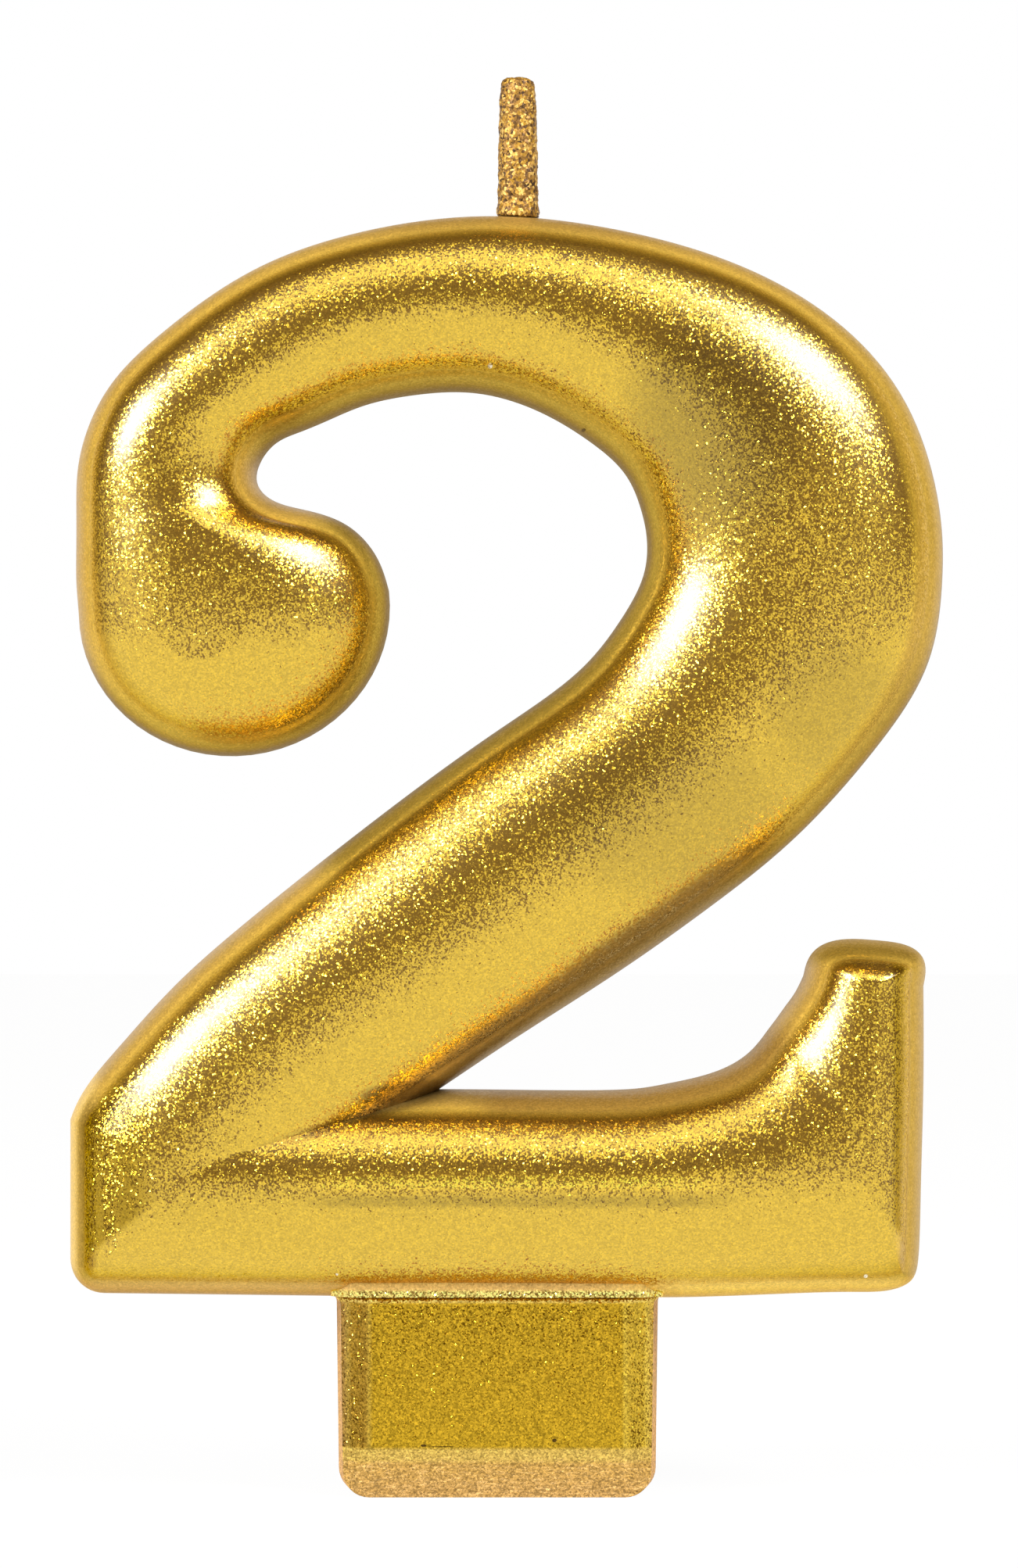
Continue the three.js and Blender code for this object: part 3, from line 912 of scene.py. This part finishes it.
# across the tab: the pale stops at 7.4 and 8.65 mm are painted highlight lines at the bevel's edges
across_tints = [
    (0.0, (0.56, 0.34, 0.02)), (7.2, (0.56, 0.34, 0.02)), (7.4, (0.72, 0.48, 0.06)),
    (7.6, (0.46, 0.26, 0.025)), (8.4, (0.5, 0.29, 0.03)), (8.65, (0.68, 0.46, 0.09)),
    (8.9, (0.5, 0.28, 0.09)), (9.3, (0.5, 0.28, 0.09)),
]
toe_tints = [
    (0.0, (0.58, 0.33, 0.1)), (2.0, (0.62, 0.36, 0.085)), (2.3, (0.7, 0.46, 0.1)),
    (2.85, (0.72, 0.48, 0.1)), (3.1, (0.54, 0.34, 0.035)),
]


def ramp(finish, value, reach, tints):
    """A colour ramp whose stops are given in millimetres."""
    stops = [(at / reach, color) for at, color in tints]
    return finish.node("ShaderNodeValToRGB", {"stops": stops}, {"Fac": value * (1 / reach)})


print(f"{len(band_tints)} tints along the band, {len(across_tints) + len(toe_tints)} on the tab")

# %% [markdown]
# Small flaws tell the candle from a perfect one: a pale bubble and a nick in the arch, a dark
# fleck at the hook, two pale flecks low on the bar, and two pits and a long scratch where the
# tab's panel ends. Each is an oval on the front, placed by its x and z.

# %% Flaws
# x, z, half width, half height and whether it's dark
flaws = [
    (-4.75, 3.12, 0.2, 0.09, True),
    (-3.7, 3.06, 0.9, 0.03, True),
    (2.8, 3.42, 0.16, 0.13, True),
    (4.5, 61.75, 0.16, 0.1, True),
    (-22.3, 59.3, 0.12, 0.12, True),
    (-0.9, 65.3, 0.16, 0.16, False),
    (20.7, 12.95, 0.14, 0.14, False),
    (-9.7, 13.1, 0.1, 0.08, False),
]
flaw_edge = (0.4, 1.0)


def oval(finish, sideways, height, middle, reach, edge):
    """1 inside an oval, 0 outside it. Its edge is given in squares of its reach."""
    along = (sideways - middle[0]) * (1 / reach[0])
    up = (height - middle[1]) * (1 / reach[1])
    return finish.fade(along * along + up * up, *edge)


def spots(finish, sideways, height, dark):
    """1 on the dark flaws or on the pale ones, and 0 elsewhere."""
    found = 0
    for x, z, half_width, half_height, is_dark in flaws:
        if is_dark == dark:
            size = (half_width, half_height)
            found = oval(finish, sideways, height, (x, z), size, flaw_edge) | found
    return found


print(f"{len(flaws)} flaws")

# %% [markdown]
# The bar and the serif end in narrow slopes, which begin at a slanting line from each lower
# corner, and these slopes are painted a darker gold, as painted shade. Under the diagonal is an
# inner corner that hardly any light reaches, painted as shade, with a painted dark line along the
# valley, and above it the diagonal's lower edge is painted a dark tan, also painted shade. All of
# these lie along slanting lines, so they are measured by how far above such a line a place is.

# %% End slopes and inner corner
left_hip = {"x": -24.6, "z": 13.7, "slope": 0.78, "inner": (-21.6, -19.4), "top": (22.5, 25.5)}
right_hip = {"x": 24.1, "z": 13.2, "slope": -1.44, "inner": (21.9, 22.5), "top": (31, 33)}
hip_edge = (-0.3, 0.4)
valley = {"x": -8.9, "z": 21.9, "slope": 0.29, "from": (-15, -10), "to": (-4.5, -3.5)}
valley_line, valley_side, valley_share = (0.1, 0.5), (-0.2, 0.2), 0.7
lower_edge = {"x": -3.6, "z": 23.7, "slope": 0.69, "from": (-13, -10), "to": (11, 17)}
lower_edge_width = ((-1.5, -1.0), (1.7, 2.6))
pocket_middle, pocket_reach, pocket_slope, pocket_edge = (-5.9, 23.5), (3.2, 0.9), 0.12, (0.15, 1.0)


def height_over(line, sideways, height):
    """How far a place is above a slanting line."""
    return height - line["z"] - (sideways - line["x"]) * line["slope"]


def end_slopes(finish, sideways, height):
    """1 on the end slopes at both sides, above their hip lines, where painted shade goes."""
    left = finish.step(height_over(left_hip, sideways, height), *hip_edge)
    left = left * finish.fade(sideways, *left_hip["inner"]) * finish.fade(height, *left_hip["top"])
    right = finish.step(height_over(right_hip, sideways, height), *hip_edge)
    right = right * finish.step(sideways, *right_hip["inner"])
    return left + right * finish.fade(height, *right_hip["top"])


def inner_corner(finish, sideways, height):
    """Where shade is painted: 1 in the corner under the diagonal, and 1 along the diagonal's lower
    edge.
    """
    level = height - (sideways - pocket_middle[0]) * pocket_slope
    pocket = oval(finish, sideways, level, pocket_middle, pocket_reach, pocket_edge)
    over_valley = height_over(valley, sideways, height)
    line = finish.fade(abs(over_valley), *valley_line)
    line = line * finish.within(sideways, valley["from"], valley["to"])
    edge = finish.within(height_over(lower_edge, sideways, height), *lower_edge_width)
    edge = edge * finish.step(over_valley, *valley_side)
    edge = edge * finish.within(sideways, lower_edge["from"], lower_edge["to"])
    return pocket | line * valley_share, edge


print("end slopes start at", left_hip, "and", right_hip)

# %% [markdown]
# The fronts of the arch, the bowl and the diagonal are painted darker where they face away from
# every lamp, as painted shade, and a painted dark line with a painted lighter one above it runs
# along the crest of the bar. Both only change how bright the gold is, so they are shares that are
# taken away or added.

# %% Soft shades
# x, z, half width, half height and how much darker
soft_shades = [
    (12.0, 62.0, 6.5, 8.5, 0.36),
    (9.5, 39.5, 9.0, 6.0, 0.2),
    (18.8, 45.5, 5.0, 5.5, 0.2),
]
shade_edge = (0.1, 1.0)
crest_x, crest_depth = ((-13, -9), (10, 14)), (4.6, 5.2)
crest_above, crest_below = ((17.9, 18.3), (18.7, 19.2)), ((16.9, 17.3), (17.5, 17.9))
crest_lighter, crest_darker = 0.4, 0.25


def painted_front_shades(finish, sideways, height):
    """How much painted shade darkens the broad fronts that face away from every lamp."""
    found = 0
    for x, z, half_width, half_height, darker in soft_shades:
        size = (half_width, half_height)
        found = oval(finish, sideways, height, (x, z), size, shade_edge) * darker + found
    return found


def painted_crest_lines(finish, sideways, height, depth):
    """How much painted light brightens the gold above the bar's crest, and below 0 how much painted
    shade darkens it under the crest.
    """
    along = finish.within(sideways, *crest_x) * finish.step(depth, *crest_depth)
    above = finish.within(height, *crest_above) * crest_lighter
    return along * (above - finish.within(height, *crest_below) * crest_darker)


print(f"{len(soft_shades)} soft shades and the crest's two lines")

# %% [markdown]
# A mask is a value that is 1 in one region and 0 elsewhere, with a soft edge. It is worked out
# from the coordinates, in millimetres, and from the way the surface faces, and never from where
# the camera stands, so the regions stay in place from every side. The masks that more than one
# step needs are kept here by name.

# %% Regions of the skin
# start and end of each soft edge, in millimetres, and for the facing as a share of the normal
facing_up, facing_right = (-0.75, -0.05), (0.35, 0.8)
right_x, left_x, left_top = (12, 18), (-24.2, -23.2), (27, 30)
counter_x, counter_z = ((-12, -9), (9, 11)), ((34, 37), (68.5, 70))
serif_x, serif_z = (14, 15), ((30.5, 31.5), (34, 35))
rim_edge, right_narrower, left_wider = (3.2, 4.6), 0.7, 0.8
slopes_from, full_gold_from = (3.7, 4.0), (4.3, 5.0)
toe_top, tab_rim_width = (2.85, 3.1), 0.25
tab_sides = (tab_half_width + 0.1, tab_half_width + 0.35)
tab_top = (tab_height - 0.6, tab_height - 0.1)
fillet_top = (tab_height + 0.3, tab_height + 0.5)


class Regions:
    """Where a point of the skin is, and the masks that several steps share."""

    def __init__(self, gold):
        self.place = gold.place()
        sideways, toward, height = (gold.axis(self.place, name) * (1 / MM) for name in "XYZ")
        self.sideways, self.toward, self.height = sideways, toward, height
        self.depth = abs(toward)

        facing = gold.node("ShaderNodeNewGeometry", output="Normal")
        # inside the counter, faces that look up also take the undersides' painted tints
        counter = gold.within(sideways, *counter_x) * gold.within(height, *counter_z)
        self.upward = gold.step(gold.axis(facing, "Z"), *facing_up) * (1 - counter)
        self.rightward = gold.step(gold.axis(facing, "X"), *facing_right)
        self.rightward = self.rightward * gold.step(sideways, *right_x)
        self.on_left = gold.fade(sideways, *left_x) * gold.fade(height, *left_top)
        self.on_serif = gold.step(sideways, *serif_x) * gold.within(height, *serif_z)
        to_rim = self.depth - self.rightward * right_narrower + self.on_left * left_wider
        self.rim = gold.fade(to_rim, *rim_edge)
        self.on_ends = end_slopes(gold, sideways, height) * gold.step(self.depth, *slopes_from)
        # where shade is painted under the diagonal and along its lower edge
        self.pocket, self.edge = inner_corner(gold, sideways, height)
        self.full = gold.step(self.depth, *full_gold_from)

        self.from_tab = sideways - tab_x
        below_fillet = gold.fade(height, *fillet_top) * gold.fade(abs(self.from_tab), *tab_sides)
        self.on_tab = gold.fade(height, *tab_top) | below_fillet
        self.off_tab = 1 - self.on_tab
        self.tab_rim = gold.fade(self.depth, tab_edge_depth - tab_rim_width, tab_edge_depth)
        self.on_toe = gold.fade(height, *toe_top)


print("the rim ends between", rim_edge, "mm from the parting plane")

# %% [markdown]
# Over the ramps come the tints of single places, one after the other: the rims at the left and the
# right, where less lacquer lies, with painted light on the left rim and painted shade on the outer
# rim high on the right; the top of the bar and the crown, painted dark as a painted reflection of
# the dark ceiling; the underside of the bar, painted light as a painted reflection of the floor;
# and the serif's tip, painted darker as painted shade. Each has a strength and a colour.

# %% Tints of the numeral
# painted light and shade: lighter left rim, darker outer rim, bar top and crown as a painted
# reflection of the dark ceiling, undersides as a painted reflection of the floor, darker serif tip
place_tints = {
    "bare rim": (0.8, (0.37, 0.235, 0.035)),
    "outer rim": (0.7, (0.19, 0.125, 0.045)),
    "left rim": (0.8, (0.62, 0.42, 0.1)),
    "bar top": (0.85, (0.2, 0.11, 0.02)),
    "crown": (0.5, (0.2, 0.11, 0.02)),
    "underside": (0.8, (0.68, 0.43, 0.14)),
    "right underside": (0.8, (0.95, 0.68, 0.14)),
    "serif": (0.6, (0.45, 0.3, 0.04)),
}
# painted shade for the end slopes, the diagonal's lower edge and the inner corner
painted_slope_shade, painted_edge_shade, painted_pocket_shade = (0.46, 0.29, 0.022), (0.27, 0.18, 0.055), (0.1, 0.055, 0.012)
edge_shade_strength, pocket_shade_strength = 0.9, 0.8
outer_z, outer_depth = (34, 38), (0.6, 1.9)
bar_top_x, bar_top_z = ((-3, 0), (16, 19)), (26, 28)
crown_x, crown_reach, crown_z = 1, (4, 15), (71, 74)
underside_top, right_underside_x = (tab_height + 0.5, tab_height + 1.4), (4, 12)


def numeral_tint(gold, at):
    """The lacquer's colour on the numeral, with its painted light and shade."""
    underside = gold.fade(at.height, *underside_top)
    outer_rim = at.rightward * gold.step(at.height, *outer_z) * gold.fade(at.depth, *outer_depth)
    bar_top = gold.within(at.sideways, *bar_top_x) * gold.fade(at.height, *bar_top_z)
    from_crown = abs(at.sideways - crown_x)
    top_middle = gold.step(at.height, *crown_z) * gold.fade(from_crown, *crown_reach)
    masks = {
        "bare rim": at.rim * (at.rightward | at.on_left),
        "outer rim": outer_rim,
        "left rim": at.rim * at.on_left,
        "bar top": bar_top * at.upward * at.rim,
        "crown": top_middle * at.rim,
        "underside": underside,
        "right underside": underside * gold.step(at.sideways, *right_underside_x),
        "serif": at.on_serif,
    }
    # undersides take the ramp of painted shade and painted floor reflection
    lower, upper = (ramp(gold, at.depth, band_reach, tints) for tints in (painted_underside_tints, band_tints))
    tint = gold.blend(at.upward, lower, upper)
    for name, (strength, color) in place_tints.items():
        tint = gold.blend(masks[name] * strength, tint, color)
    tint = gold.blend(at.full, tint, full_gold)
    # painted shade on the end slopes, along the diagonal's lower edge and in the inner corner
    tint = gold.blend(at.on_ends, tint, painted_slope_shade)
    tint = gold.blend(at.edge * edge_shade_strength, tint, painted_edge_shade)
    return gold.blend(at.pocket * pocket_shade_strength, tint, painted_pocket_shade)


print(f"{len(place_tints)} tints of single places")

# %% [markdown]
# The tab's toe is rubbed, with scratches that run sideways, which noise gives when it is squeezed
# in height. In the photograph the panel's left bevel is darker and its right one lighter, so they
# get painted shade and painted light, and the fillet under the bar is the brightest line of all, a
# painted highlight.

# %% Tints of the tab
streak_width, streak_height = 1.2, 6.0
scratch_edge, worn_top = (0.46, 0.68), (1.7, 2.8)
# the left bevel's painted shade, the right bevel's painted light and the fillet's painted highlight
left_bevel, left_strength, left_bevel_shade = (-7.6, -7), 0.55, (0.34, 0.2, 0.03)
right_bevel, right_strength, right_bevel_light = (7, 7.6), 0.5, (0.74, 0.52, 0.05)
worn_strength, worn_tint = 0.45, (0.78, 0.54, 0.24)
tab_rim_tint, fillet_highlight = (0.52, 0.29, 0.1), (1.0, 0.74, 0.2)
fillet_from = (tab_height - 0.45, tab_height - 0.15)


def toe_wear(gold, at):
    """1 where the toe is scratched."""
    streaks = gold.node("ShaderNodeCombineXYZ", None, {
        "X": at.sideways * streak_width,
        "Y": at.toward * streak_width,
        "Z": at.height * streak_height,
    })
    scratches = gold.node("ShaderNodeTexNoise", None, {
        "Vector": streaks, "Scale": 1.3, "Detail": 8.0, "Roughness": 0.7,
    })
    return gold.step(scratches, *scratch_edge) * gold.fade(at.height, *worn_top)


def tab_tint(gold, at, worn):
    """The lacquer's colour on the tab, with painted light and shade on its bevels and edges."""
    tint = ramp(gold, abs(at.from_tab), across_reach, across_tints)
    tint = gold.blend(gold.fade(at.from_tab, *left_bevel) * left_strength, tint, left_bevel_shade)
    tint = gold.blend(gold.step(at.from_tab, *right_bevel) * right_strength, tint, right_bevel_light)
    tint = gold.blend(at.on_toe, tint, ramp(gold, at.height, toe_reach, toe_tints))
    tint = gold.blend(worn * worn_strength, tint, worn_tint)
    tint = gold.blend(at.tab_rim, tint, tab_rim_tint)
    return gold.blend(gold.step(at.height, *fillet_from), tint, fillet_highlight)


print(f"scratches on the lowest {worn_top[1]} mm of the tab")

# %% [markdown]
# The shader itself is a metal under a clear coat: the metal gives the gold its colour and its
# sparks, and the coat gives the highlights their white cores. Where little lacquer lies the
# surface is less metallic and rougher, its flakes lie flatter, and it has no coat.

# %% Gold lacquer
dark_flaw, pale_flaw = (0.9, (0.04, 0.02, 0.01)), (0.8, (0.95, 0.9, 0.75))
front_from, band_top, coat_from = (0, 0.5), (3.4, 3.9), (3.9, 5.0)
# the share that isn't metal
dull_rim, dull_rim_above, shiny_serif = 0.15, 0.55, 0.7
dull_edge, dull_tab_rim, dull_scratches = 0.4, 0.6, 0.5
# how much further or less far the flakes tilt
band_tilt, slopes_tilt, tab_tilt, tab_rim_tilt, toe_tilt = -0.6, 0.5, 0.3, -0.6, -0.7
uncoated_slopes, uncoated_tab = 0.8, 0.8
least_rough, band_rough, tab_rim_rough = 0.19, 0.18, 0.4
tab_grain = 1.4


def gold_lacquer():
    gold = Finish("gold_lacquer")
    at = Regions(gold)
    worn = toe_wear(gold, at)
    tint = gold.blend(at.on_tab, numeral_tint(gold, at), tab_tint(gold, at, worn))
    front = gold.step(at.toward * -1, *front_from)
    for dark, (strength, color) in ((True, dark_flaw), (False, pale_flaw)):
        flaw = spots(gold, at.sideways, at.height, dark) * front
        tint = gold.blend(flaw * strength, tint, color)

    on_band = gold.fade(at.depth, *band_top) * at.off_tab
    dull = at.rim * at.off_tab * (at.upward * dull_rim_above + dull_rim)
    dull = dull * (1 - at.on_serif * shiny_serif) | at.edge * at.off_tab * dull_edge
    dull = dull | (at.tab_rim * dull_tab_rim | worn * dull_scratches) * at.on_tab
    tilt_on_tab = at.tab_rim * tab_rim_tilt + at.on_toe * toe_tilt + tab_tilt
    tilt = on_band * band_tilt + at.on_ends * slopes_tilt + at.on_tab * tilt_on_tab + 1
    coat = gold.step(at.depth, *coat_from) * (1 - at.edge)
    coat = coat * (1 - at.on_ends * uncoated_slopes) * (1 - at.on_tab * uncoated_tab)
    rough = on_band * band_rough + at.tab_rim * at.on_tab * tab_rim_rough + least_rough

    normal, tone = flake_normal(gold, at.place, tilt)
    tone = tone + (tone - 1) * (at.on_tab * tab_grain)
    # painted shade on the broad fronts, then the painted light and shade along the bar's crest
    tone = tone * (1 - painted_front_shades(gold, at.sideways, at.height) * at.full)
    tone = tone * (1 + painted_crest_lines(gold, at.sideways, at.height, at.depth))
    color = gold.node("ShaderNodeHueSaturation", None, {"Color": tint, "Value": tone})
    return gold.show(gold.node("ShaderNodeBsdfPrincipled", None, {
        "Base Color": color,
        "Metallic": 1 - dull,
        "Roughness": rough,
        "Specular Tint": (0.78, 0.58, 0.32, 1),
        "Coat Weight": coat,
        "Coat Roughness": 0.3,
        "Normal": normal,
    }, "BSDF"))


skin.data.materials.clear()
skin.data.materials.append(gold_lacquer())
print(f"gold lacquer: {len(skin.data.materials[0].node_tree.nodes)} nodes")

# %% [markdown]
# ## Wick and wax
# The dip on the wick is one of coarse grains, some of them bright flecks and some dark pits. Each
# is a cell of a Voronoi texture, and a ramp turns its random value into a colour.

# %% Dip
dip_grains, dip_tilt = 6200.0, 1.6
dip_tints = [
    (0.0, (0.04, 0.015, 0.002)), (0.22, (0.13, 0.06, 0.009)), (0.44, (0.25, 0.125, 0.02)),
    (0.8, (0.38, 0.2, 0.014)), (0.93, (0.62, 0.4, 0.1)),
]


def wick_gold():
    dip = Finish("wick_gold")
    place = dip.place()
    chance = dip.channel(dip.cells(place, dip_grains), "Red")
    tint = dip.node("ShaderNodeValToRGB", {"stops": dip_tints}, {"Fac": chance})
    normal, tone = flake_normal(dip, place, dip_tilt)
    return dip.show(dip.node("ShaderNodeBsdfPrincipled", None, {
        "Base Color": tint,
        "Metallic": 0.45,
        "Roughness": tone * 0.3 + 0.2,
        "Normal": normal,
    }, "BSDF"))


sleeve.data.materials.append(wick_gold())
print(f"grains of {1000 / dip_grains:.2f} mm on the dip")

# %% [markdown]
# Cotton and wax hardly show: the cotton only under the foot of the dip, and the wax only at the
# tab's sole. A sine wave that runs slantwise gives the cotton its strands, and soft noise with a
# little light under the surface gives the wax its clouds.

# %% Cotton and wax
strands_up, strands_across = 4200, 5200
cotton_dark, cotton_light = (0.62, 0.56, 0.42), (0.85, 0.81, 0.7)
wax_light, wax_dark = (0.86, 0.78, 0.6), (0.8, 0.7, 0.5)


def wick_cotton():
    cotton = Finish("wick_cotton")
    place = cotton.place()
    strands = cotton.axis(place, "Z") * strands_up + cotton.axis(place, "X") * strands_across
    strand = strands.math("SINE", strands) * 0.5 + 0.5
    tint = cotton.blend(strand, cotton_dark, cotton_light)
    return cotton.show(cotton.node(
        "ShaderNodeBsdfPrincipled", None, {"Base Color": tint, "Roughness": 0.7}, "BSDF"
    ))


def bare_wax():
    wax = Finish("wax")
    place = wax.place()
    clouds = wax.node("ShaderNodeTexNoise", None, {"Vector": place, "Scale": 400.0, "Detail": 3.0})
    tint = wax.blend(wax.step(clouds, 0.35, 0.65), wax_light, wax_dark)
    return wax.show(wax.node("ShaderNodeBsdfPrincipled", None, {
        "Base Color": tint,
        "Roughness": clouds * 0.2 + 0.35,
        "Subsurface Weight": 0.2,
        "Subsurface Scale": 0.5 * MM,
    }, "BSDF"))


for node, finish in (("cotton_wick", wick_cotton()), ("wax_body", bare_wax())):
    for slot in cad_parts[node].material_slots:
        slot.material = finish
print("finishes for the cotton and the wax")
